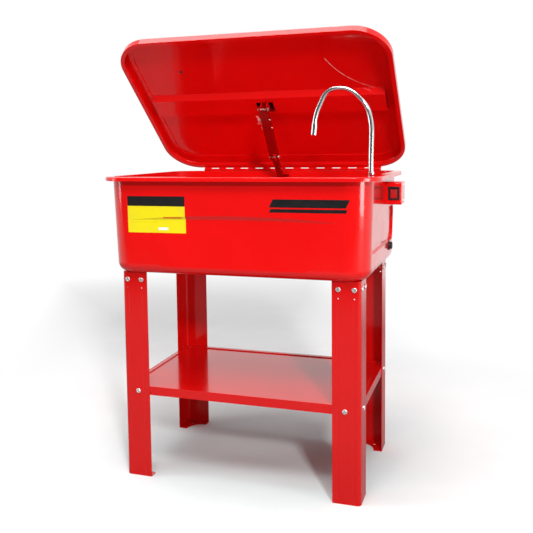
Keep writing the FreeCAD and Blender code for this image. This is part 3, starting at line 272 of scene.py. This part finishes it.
def paint_flow_group():
    """Waves of sprayed paint: a height, and a slow cloud for the paint's thickness."""
    outputs = [("Height", "NodeSocketFloat"), ("Cloud", "NodeSocketFloat")]
    group, shader, source, sink = new_group("Paint flow", [("Size", 0.003), ("Cloud Size", 0.25)], outputs)
    place = shader.add("ShaderNodeTexCoord").outputs["Object"]
    fine = shader.add("ShaderNodeTexNoise")
    shader.join(place, fine.inputs["Vector"])
    shader.join(shader.math("DIVIDE", 1.0, source.outputs["Size"]), fine.inputs["Scale"])
    fine.inputs["Detail"].default_value = 1.0
    cloud = shader.add("ShaderNodeTexNoise")
    shader.join(place, cloud.inputs["Vector"])
    shader.join(shader.math("DIVIDE", 1.0, source.outputs["Cloud Size"]), cloud.inputs["Scale"])
    cloud.inputs["Detail"].default_value = 3.0
    shader.join(fine.outputs["Fac"], sink.inputs["Height"])
    shader.join(shader.span(cloud.outputs["Fac"], 0.3, 0.7, 0.0, 1.0), sink.inputs["Cloud"])
    return group


def edge_group():
    """Mask that is 1 along sharp edges, and the normal that rounds them."""
    outputs = [("Mask", "NodeSocketFloat"), ("Normal", "NodeSocketVector")]
    group, shader, source, sink = new_group("Edge", [("Radius", 0.001), ("Break Up", 0.5)], outputs)
    bevel = shader.add("ShaderNodeBevel", samples=6)
    shader.join(source.outputs["Radius"], bevel.inputs["Radius"])
    normal = shader.add("ShaderNodeNewGeometry").outputs["Normal"]
    sharp = shader.span(shader.dot(bevel.outputs["Normal"], normal), 0.98, 0.80, 0.0, 1.0)
    place = shader.add("ShaderNodeTexCoord").outputs["Object"]
    patches = shader.span(shader.noise(place, 130.0, 3.0), 0.35, 0.65, 0.0, 1.0)
    keep = shader.math("SUBTRACT", 1.0, shader.math("MULTIPLY", source.outputs["Break Up"], patches))
    shader.join(shader.math("MULTIPLY", sharp, keep), sink.inputs["Mask"])
    shader.join(bevel.outputs["Normal"], sink.inputs["Normal"])
    return group


def smudge_group():
    """Handling marks: a mask for roughness."""
    group, shader, source, sink = new_group("Smudge", [("Size", 0.05)], [("Mask", "NodeSocketFloat")])
    place = shader.add("ShaderNodeTexCoord").outputs["Object"]
    scale = shader.math("DIVIDE", 1.0, source.outputs["Size"])
    broad = shader.add("ShaderNodeTexNoise")
    shader.join(place, broad.inputs["Vector"])
    shader.join(scale, broad.inputs["Scale"])
    broad.inputs["Detail"].default_value = 5.0
    broad.inputs["Distortion"].default_value = 0.6
    shader.join(shader.span(broad.outputs["Fac"], 0.42, 0.68, 0.0, 1.0), sink.inputs["Mask"])
    return group


def grain_group():
    """Fine moulded grain: a height."""
    group, shader, source, sink = new_group("Grain", [("Size", 0.0006)], [("Height", "NodeSocketFloat")])
    place = shader.add("ShaderNodeTexCoord").outputs["Object"]
    cells = shader.add("ShaderNodeTexVoronoi")
    shader.join(place, cells.inputs["Vector"])
    shader.join(shader.math("DIVIDE", 1.0, source.outputs["Size"]), cells.inputs["Scale"])
    shader.join(cells.outputs["Distance"], sink.inputs["Height"])
    return group


class Paintshop:
    """Builds the finishes, from node groups that it makes once and keeps."""

    def __init__(self, finish):
        self.finish = finish
        self.flow = paint_flow_group()
        self.edge = edge_group()
        self.smudge = smudge_group()
        self.grain = grain_group()

    def start(self, name):
        material = bpy.data.materials.new(name)
        material.use_nodes = True
        shader = Shader(material.node_tree)
        return material, shader, material.node_tree.nodes["Principled BSDF"]

    def place(self, shader, group, **values):
        node = shader.add("ShaderNodeGroup")
        node.node_tree = group
        for key, value in values.items():
            node.inputs[key.replace("_", " ")].default_value = value
        return node

    def bump(self, shader, bsdf, height, distance, normal=None):
        node = shader.add("ShaderNodeBump")
        node.inputs["Distance"].default_value = distance
        node.inputs["Strength"].default_value = 1.0
        shader.join(height, node.inputs["Height"])
        shader.feed(node.inputs["Normal"], normal)
        shader.join(node.outputs["Normal"], bsdf.inputs["Normal"])

    def enamel(self, name="red enamel", radius=0.9 * MM, tone=1.0, painted_lid_marks=False):
        material, shader, bsdf = self.start(name)
        finish = self.finish
        flow = self.place(shader, self.flow, Size=finish.peel_size, Cloud_Size=0.22)
        edge = self.place(shader, self.edge, Radius=radius, Break_Up=0.35)
        smudge = self.place(shader, self.smudge, Size=0.06)
        # A tone below 1 darkens the whole colour; the stand and stay use it for painted shade.
        body = shader.blend(flow.outputs["Cloud"], rgba(finish.enamel, tone), rgba(finish.enamel_shade, tone))
        # Edges lighter and pinker: partly wear, partly a painted edge highlight.
        edge_wear_and_sheen = shader.math("MULTIPLY", edge.outputs["Mask"], 0.5)
        colour_now = shader.blend(edge_wear_and_sheen, body, rgba(finish.enamel, tone, 0.03))
        # The lid's inside gets a painted highlight arc and painted shade behind the stiffener's window.
        if painted_lid_marks:
            inside = lid_inside(shader)
            painted_highlight = shader.math("MULTIPLY", lid_painted_highlight(shader), inside)
            window_shade = shader.math("MULTIPLY", lid_window_shade(shader), inside)
            # Painted highlight: a bright arc in the zinc colour.
            colour_now = shader.blend(painted_highlight, colour_now, rgba(finish.zinc))
            # Painted shade: black behind the stiffener's window.
            colour_now = shader.blend(window_shade, colour_now, rgba(finish.plastic))
        shader.join(colour_now, bsdf.inputs["Base Color"])
        low = finish.enamel_roughness
        rough = shader.span(smudge.outputs["Mask"], 0.0, 1.0, low, low + 0.06)
        shader.join(rough, bsdf.inputs["Roughness"])
        for key, value in ENAMEL_SURFACE.items():
            bsdf.inputs[key].default_value = value
        self.bump(shader, bsdf, flow.outputs["Height"], ENAMEL_WAVE, edge.outputs["Normal"])
        return material

    def metal(self, name, tint, roughness, radius=0.4 * MM, wave=0.0, gloss=1.0):
        material, shader, bsdf = self.start(name)
        edge = self.place(shader, self.edge, Radius=radius, Break_Up=0.2)
        smudge = self.place(shader, self.smudge, Size=0.02)
        flow = self.place(shader, self.flow, Size=0.002, Cloud_Size=0.05)
        stained = shader.blend(smudge.outputs["Mask"], rgba(tint), rgba(tint, 0.80))
        shader.join(stained, bsdf.inputs["Base Color"])
        rough = shader.span(smudge.outputs["Mask"], 0.0, 1.0, roughness, roughness + 0.12)
        shader.join(rough, bsdf.inputs["Roughness"])
        bsdf.inputs["Metallic"].default_value = gloss
        self.bump(shader, bsdf, flow.outputs["Height"], wave, edge.outputs["Normal"])
        return material

    def moulding(self, name, tint, roughness, grain=0.6 * MM, depth=0.00004, coat=0.0):
        material, shader, bsdf = self.start(name)
        edge = self.place(shader, self.edge, Radius=0.5 * MM, Break_Up=0.4)
        smudge = self.place(shader, self.smudge, Size=0.03)
        texture = self.place(shader, self.grain, Size=grain)
        # Edges lighter: partly wear, partly a painted edge highlight.
        edge_wear_and_sheen = shader.math("MULTIPLY", edge.outputs["Mask"], 0.5)
        shader.join(shader.blend(edge_wear_and_sheen, rgba(tint), rgba(tint, 1.5, 0.03)), bsdf.inputs["Base Color"])
        rough = shader.span(smudge.outputs["Mask"], 0.0, 1.0, roughness, roughness + 0.10)
        shader.join(rough, bsdf.inputs["Roughness"])
        bsdf.inputs["Coat Weight"].default_value = coat
        bsdf.inputs["Coat Roughness"].default_value = 0.08
        self.bump(shader, bsdf, texture.outputs["Height"], depth, edge.outputs["Normal"])
        return material


def lid_place(shader):
    """Distance across the lid, and along it from its hinge."""
    place = shader.add("ShaderNodeTexCoord").outputs["Object"]
    pivot = joint_place("lid_hinge")
    return [
        shader.math("SUBTRACT", shader.dot(place, direction), pivot.dot(direction))
        for direction in (Vector((1, 0, 0)), LID_ALONG)
    ]


def lid_inside(shader):
    """1 on the faces that look into the tub when the lid is closed."""
    normal = shader.add("ShaderNodeTexCoord").outputs["Normal"]
    return shader.span(shader.dot(normal, LID_INWARD), 0.2, 0.5, 0.0, 1.0)


def lid_window_shade(shader):
    """Painted shade: a black strip on the lid behind the stiffener's window, where the hollow lies in shade."""
    across, along = lid_place(shader)
    low, high = (Vector(corner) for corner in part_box("stay_clevis"))
    half = high.x + WINDOW_SHADE_MARGIN
    middle = ((low + high) / 2 - joint_place("lid_hinge")).dot(LID_ALONG)
    beside = shader.within(across, -half, half)
    level = shader.within(along, middle - WINDOW_SHADE_HALF_HEIGHT, middle + WINDOW_SHADE_HALF_HEIGHT)
    return shader.math("MULTIPLY", beside, level)


def lid_painted_highlight(shader):
    """Painted highlight: a fine broken bright arc inside the lid, near its free right corner."""
    across, along = (
        shader.math("SUBTRACT", part, middle) for part, middle in zip(lid_place(shader), HIGHLIGHT_ARC_MIDDLE)
    )
    squares = (shader.math("MULTIPLY", part, part) for part in (across, along))
    radius = shader.math("SQRT", shader.math("ADD", *squares))
    off = shader.math("ABSOLUTE", shader.math("SUBTRACT", radius, HIGHLIGHT_ARC_RADIUS))
    line = shader.span(off, 0.0, HIGHLIGHT_ARC_WIDTH, 1.0, 0.0)
    reach = shader.math(
        "MULTIPLY", shader.within(across, *HIGHLIGHT_ARC_REACH), shader.within(along, -HIGHLIGHT_ARC_RADIUS, 0.0)
    )
    faint = shader.span(across, *HIGHLIGHT_ARC_REACH, 0.9, 0.25)
    place = shader.add("ShaderNodeTexCoord").outputs["Object"]
    broken = shader.span(shader.noise(place, 60.0, 3.0), 0.35, 0.6, 0.3, 1.0)
    masks = (line, reach, broken, faint)
    return functools.reduce(lambda a, b: shader.math("MULTIPLY", a, b), masks)


SHOP = {}


def shop():
    if "shop" not in SHOP:
        SHOP["shop"] = Paintshop(bpy.context.scene.washer_finish)
    return SHOP["shop"]


def dress(node, material):
    """Gives a node of the frame its finish."""
    piece = frame["nodes"][node]
    piece.data.materials.clear()
    piece.data.materials.append(material)


def joint_place(name):
    row = next(row for row in frame["joints"] if row["name"] == name)
    return Vector(row["pos_m"])


def nodes_in(slot):
    rows = frame["record"]["subparts"]
    return [row["node"] for row in rows if row["material_slot"] == slot]


# --- operators ---
class WASHER_OT_enamel(bpy.types.Operator):
    """Paint the tub, lid, legs, shelves and stay"""

    bl_idname = "washer.enamel"
    bl_label = "Paint the steel"

    def execute(self, context):
        paint = shop().enamel()
        for node in nodes_in("red_enamel"):
            dress(node, paint)
        dress("lid", shop().enamel("red enamel, lid", painted_lid_marks=True))
        # Painted shade: the legs and lower shelf get a darker copy of the enamel.
        shaded_stand = shop().enamel("red enamel, stand", tone=STAND_PAINTED_SHADE)
        for node in nodes_in("red_enamel"):
            if "leg" in node or node == "lower_shelf":
                dress(node, shaded_stand)
        # Painted shade: the stay's arms and bracket get a much darker copy of the enamel.
        stay = shop().enamel("red enamel, stay", radius=0.6 * MM, tone=STAY_PAINTED_SHADE)
        for node in ("stay_upper_arm", "stay_lower_arm", "stay_bracket"):
            dress(node, stay)
        return {"FINISHED"}


class WASHER_OT_metals(bpy.types.Operator):
    """Plate the fasteners, pins, link and spigot"""

    bl_idname = "washer.metals"
    bl_label = "Plate the metals"

    def execute(self, context):
        finish = context.scene.washer_finish
        zinc = shop().metal("zinc plate", finish.zinc, 0.22, wave=0.00001, gloss=0.8)
        for node in nodes_in("zinc_steel"):
            dress(node, zinc)
        chrome = shop().metal("chrome plate", finish.chrome, 0.12)
        for node in nodes_in("chrome_tube"):
            dress(node, chrome)
        alloy = shop().metal("bare alloy", finish.alloy, 0.34, wave=0.00002)
        for node in nodes_in("link_alloy"):
            dress(node, alloy)
        return {"FINISHED"}


class WASHER_OT_mouldings(bpy.types.Operator):
    """Finish the plastic and rubber pieces"""

    bl_idname = "washer.mouldings"
    bl_label = "Finish plastic and rubber"

    def execute(self, context):
        finish = context.scene.washer_finish
        black = shop().moulding("black moulding", finish.plastic, 0.38)
        for node in nodes_in("black_plastic"):
            dress(node, black)
        rubber = shop().moulding("black rubber", finish.rubber, 0.62, grain=0.9 * MM)
        for node in nodes_in("black_rubber"):
            dress(node, rubber)
        hose = shop().moulding("black hose", finish.rubber, 0.36, grain=1.5 * MM, depth=0.00002)
        for node in nodes_in("clear_hose"):
            dress(node, hose)
        rocker = shop().moulding("red rocker", finish.rocker, 0.18, grain=0.8 * MM, depth=0.00001, coat=0.5)
        for node in nodes_in("red_rocker"):
            dress(node, rocker)
        return {"FINISHED"}


class WASHER_OT_films(bpy.types.Operator):
    """Print the blank label and cut the black stripes on the front"""

    bl_idname = "washer.films"
    bl_label = "Finish the films"

    def execute(self, context):
        dress("front_label", self.label(context.scene.washer_finish))
        stripe = context.scene.washer_finish.stripe
        dress("front_stripes", shop().moulding("black film", stripe, 0.34, grain=2.0 * MM, depth=0.00001))
        return {"FINISHED"}

    def label(self, finish):
        """A yellow field under a dark band, with a short rule and a small white box, and no words."""
        material, shader, bsdf = shop().start("printed film")
        low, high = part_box("front_label")
        wide, tall = high[0] - low[0], high[2] - low[2]
        parts = shader.split(shader.add("ShaderNodeTexCoord").outputs["Object"])
        across = shader.span(parts[0], low[0], high[0], 0.0, 1.0)
        up = shader.span(parts[2], low[2], high[2], 0.0, 1.0)
        smudge = shop().place(shader, shop().smudge, Size=0.04)
        field = finish.label_field
        ink = shader.blend(smudge.outputs["Mask"], rgba(field), rgba(field, 0.94, 0.01))
        for (left, right, foot, top), tint in (
            (LABEL_RULE_AREA, rgba(finish.label_rule)),
            (LABEL_LINE_AREA, rgba(field, 0.75)),
            (LABEL_BOX_AREA, rgba(LABEL_WHITE)),
            (LABEL_BAND_AREA, rgba(finish.label_band)),
        ):
            mask = shader.math("MULTIPLY", shader.within(across, left, right), shader.within(up, foot, top))
            ink = shader.blend(mask, ink, tint)
        shader.join(ink, bsdf.inputs["Base Color"])
        shader.join(shader.span(smudge.outputs["Mask"], 0.0, 1.0, 0.28, 0.40), bsdf.inputs["Roughness"])
        bsdf.inputs["Specular IOR Level"].default_value = 0.3
        flow = shop().place(shader, shop().flow, Size=min(wide, tall) / 4, Cloud_Size=0.1)
        shop().bump(shader, bsdf, flow.outputs["Height"], 0.0002)
        return material


# --- small fittings ---
def mesh_piece(name, build, body, material):
    """Turns a bmesh into a piece that rides on a body."""
    mesh = bpy.data.meshes.new(name)
    bmesh.ops.recalc_face_normals(build, faces=build.faces)
    build.to_mesh(mesh)
    build.free()
    for face in mesh.polygons:
        face.use_smooth = True
    mesh.materials.append(material)
    piece = bpy.data.objects.new(name, mesh)
    bpy.context.scene.collection.objects.link(piece)
    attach(piece, body)
    return piece


def turned(build, profile, steps=32):
    """Spins a profile of (radius, height) points about the local Z axis."""
    rings = []
    for radius, height in profile:
        ring = []
        for step in range(steps):
            angle = 2 * math.pi * step / steps
            ring.append(build.verts.new((radius * math.cos(angle), radius * math.sin(angle), height)))
        rings.append(ring)
    for low, high in zip(rings, rings[1:]):
        for step in range(steps):
            after = (step + 1) % steps
            build.faces.new((low[step], low[after], high[after], high[step]))
    build.faces.new(rings[0])
    build.faces.new(rings[-1])


class WASHER_OT_lid_plug(bpy.types.Operator):
    """Plug the small hole in the lid with a rubber button"""

    bl_idname = "washer.lid_plug"
    bl_label = "Plug the lid"

    def execute(self, context):
        seat = joint_place("lid_hinge") + LID_ALONG * LID_PLUG_PLACE[1] - LID_INWARD * LID_PANEL_DEPTH
        seat.x = LID_PLUG_PLACE[0]
        build = bmesh.new()
        turned(build, LID_PLUG_PROFILE)
        side = Vector((1, 0, 0))
        basis = Matrix((side, LID_INWARD.cross(side), LID_INWARD)).transposed().to_4x4()
        bmesh.ops.transform(build, matrix=Matrix.Translation(seat) @ basis, verts=build.verts)
        tint = context.scene.washer_finish.rubber
        rubber = shop().moulding("plug rubber", tint, 0.55, grain=0.7 * MM)
        mesh_piece("lid_hole_plug", build, "lid", rubber)
        return {"FINISHED"}


# --- stage ---
def flat_disc(name, radius):
    """Round sheet centred on the origin."""
    mesh = bpy.data.meshes.new(name)
    build = bmesh.new()
    bmesh.ops.create_circle(build, cap_ends=True, segments=96, radius=radius)
    build.to_mesh(mesh)
    build.free()
    piece = bpy.data.objects.new(name, mesh)
    bpy.context.scene.collection.objects.link(piece)
    return piece


def floor_material(stage):
    """Pale floor that fades to the white background, later along the long shadow behind the tank."""
    material = bpy.data.materials.new("floor")
    material.use_nodes = True
    tree = material.node_tree
    shader = Shader(tree)
    bsdf = tree.nodes["Principled BSDF"]
    bsdf.inputs["Roughness"].default_value = 0.9
    bsdf.inputs["Specular IOR Level"].default_value = 0.0
    place = shader.add("ShaderNodeTexCoord").outputs["Object"]
    length_node = shader.add("ShaderNodeVectorMath", operation="LENGTH")
    shader.join(place, length_node.inputs[0])
    reach = length_node.outputs["Value"]
    near = shader.span(reach, *FLOOR_NEAR_RANGE, 1.0, 0.0)
    grain = shader.span(shader.noise(place, 6.0, 4.0), 0.3, 0.7, 0.97, 1.0)
    shade = shader.add("ShaderNodeVectorMath", operation="SCALE")
    shader.join(shader.blend(near, rgba(stage.floor), rgba(stage.floor_near)), shade.inputs[0])
    shader.join(grain, shade.inputs["Scale"])
    path = shader.add("ShaderNodeLightPath")
    seen = path.outputs["Is Camera Ray"]
    shader.join(shader.blend(seen, rgba(stage.floor_bounce), shade.outputs[0]), bsdf.inputs["Base Color"])
    plain_view = shader.math("MAXIMUM", seen, path.outputs["Is Transmission Ray"])
    across, ahead = shader.split(place)[:2]
    parts = (shader.math("MULTIPLY", part, share_of) for part, share_of in zip((across, ahead), SHADOW_ASIDE))
    aside = shader.math("ADD", *parts)
    beside = shader.span(shader.math("ABSOLUTE", aside), *SHADOW_ASIDE_RANGE, 0.0, 1.0)
    beside = shader.math("MULTIPLY", beside, shader.span(reach, *SHADOW_START_RANGE, 0.0, 1.0))
    far = shader.span(reach, *FLOOR_FAR_RANGE, 0.0, 1.0)
    fade = shader.math("MAXIMUM", far, shader.math("MULTIPLY", beside, plain_view))
    white = shader.add("ShaderNodeEmission")
    thrown = shader.span(ahead, *DARK_FLOOR_RANGE, stage.dark_front, 1.0)
    shader.join(shader.span(plain_view, 0.0, 1.0, thrown, 1.0), white.inputs["Strength"])
    mix = shader.add("ShaderNodeMixShader")
    shader.join(fade, mix.inputs[0])
    shader.join(bsdf.outputs[0], mix.inputs[1])
    shader.join(white.outputs[0], mix.inputs[2])
    shader.join(mix.outputs[0], tree.nodes["Material Output"].inputs["Surface"])
    return material


def area_lamp(name, energy, size, place):
    data = bpy.data.lights.new(name, "AREA")
    data.shape = "RECTANGLE"
    data.size, data.size_y = size
    data.energy = energy
    lamp = bpy.data.objects.new(name, data)
    lamp.location = place
    lamp.rotation_euler = (Vector(LAMP_TARGET) - Vector(place)).to_track_quat("-Z", "Y").to_euler()
    bpy.context.scene.collection.objects.link(lamp)


def room(stage):
    """White surroundings for the view, darker in reflections from the front, with a lower even light."""
    world = bpy.data.worlds.new("room")
    bpy.context.scene.world = world
    world.use_nodes = True
    shader = Shader(world.node_tree)
    background = world.node_tree.nodes["Background"]
    background.inputs["Color"].default_value = (1.0, 1.0, 1.0, 1.0)
    path = shader.add("ShaderNodeLightPath")
    seen = shader.math("MAXIMUM", path.outputs["Is Camera Ray"], path.outputs["Is Transmission Ray"])
    ahead = shader.split(shader.add("ShaderNodeTexCoord").outputs["Generated"])[1]
    mirrored = shader.span(ahead, *DARK_ROOM_RANGE, stage.dark_front, 1.0)
    even = shader.span(path.outputs["Is Glossy Ray"], 0.0, 1.0, stage.world_light, mirrored)
    strength = shader.span(seen, 0.0, 1.0, even, 1.0)
    shader.join(strength, background.inputs["Strength"])


def camera(stage):
    yaw, pitch, roll = (math.radians(angle) for angle in CAMERA_TURN)
    ahead = Vector((-math.sin(yaw) * math.cos(pitch), math.cos(yaw) * math.cos(pitch), -math.sin(pitch)))
    right = Vector((math.cos(yaw), math.sin(yaw), 0.0))
    up = right.cross(ahead)
    turned_right = math.cos(roll) * right + math.sin(roll) * up
    turned_up = -math.sin(roll) * right + math.cos(roll) * up
    data = bpy.data.cameras.new("camera")
    data.lens = stage.focal
    data.shift_x, data.shift_y = CAMERA_SHIFT
    data.clip_start = 0.05
    data.clip_end = 50.0
    view = bpy.data.objects.new("camera", data)
    basis = Matrix((turned_right, turned_up, -ahead)).transposed()
    view.matrix_world = Matrix.Translation(CAMERA_PLACE) @ basis.to_4x4()
    bpy.context.scene.collection.objects.link(view)
    bpy.context.scene.camera = view


class WASHER_OT_stage(bpy.types.Operator):
    """Lay the floor and set the lamps, the surroundings and the camera"""

    bl_idname = "washer.stage"
    bl_label = "Set the stage"

    def execute(self, context):
        stage = context.scene.washer_stage
        floor = flat_disc("floor", stage.floor_radius)
        floor.location.z = -0.0004
        floor.data.materials.append(floor_material(stage))
        for name, setting, size, place in LAMPS:
            area_lamp(name, getattr(stage, setting), size, place)
        room(stage)
        camera(stage)
        context.scene.view_settings.view_transform = "Standard"
        return {"FINISHED"}


class WASHER_PT_panel(bpy.types.Panel):
    """Sizes, colours and steps of the parts washer"""

    bl_idname = "WASHER_PT_panel"
    bl_label = "Parts washer"
    bl_space_type = "VIEW_3D"
    bl_region_type = "UI"
    bl_category = "Parts washer"

    def draw(self, context):
        layout = self.layout
        for settings in (context.scene.washer_finish, context.scene.washer_stage):
            for key in settings.__annotations__:
                layout.prop(settings, key)
        for step in STEPS:
            layout.operator(step.bl_idname)


STEPS = (
    WASHER_OT_enamel,
    WASHER_OT_metals,
    WASHER_OT_mouldings,
    WASHER_OT_films,
    WASHER_OT_lid_plug,
    WASHER_OT_stage,
)
CLASSES = (WasherFinish, WasherStage) + STEPS + (WASHER_PT_panel,)


def register():
    for item in CLASSES:
        bpy.utils.register_class(item)
    bpy.types.Scene.washer_finish = PointerProperty(type=WasherFinish)
    bpy.types.Scene.washer_stage = PointerProperty(type=WasherStage)


def unregister():
    del bpy.types.Scene.washer_stage
    del bpy.types.Scene.washer_finish
    for item in reversed(CLASSES):
        bpy.utils.unregister_class(item)


def main():
    register()
    bpy.ops.washer.enamel()
    bpy.ops.washer.metals()
    bpy.ops.washer.mouldings()
    bpy.ops.washer.films()
    bpy.ops.washer.lid_plug()
    bpy.ops.washer.stage()


if __name__ == "__main__":
    main()
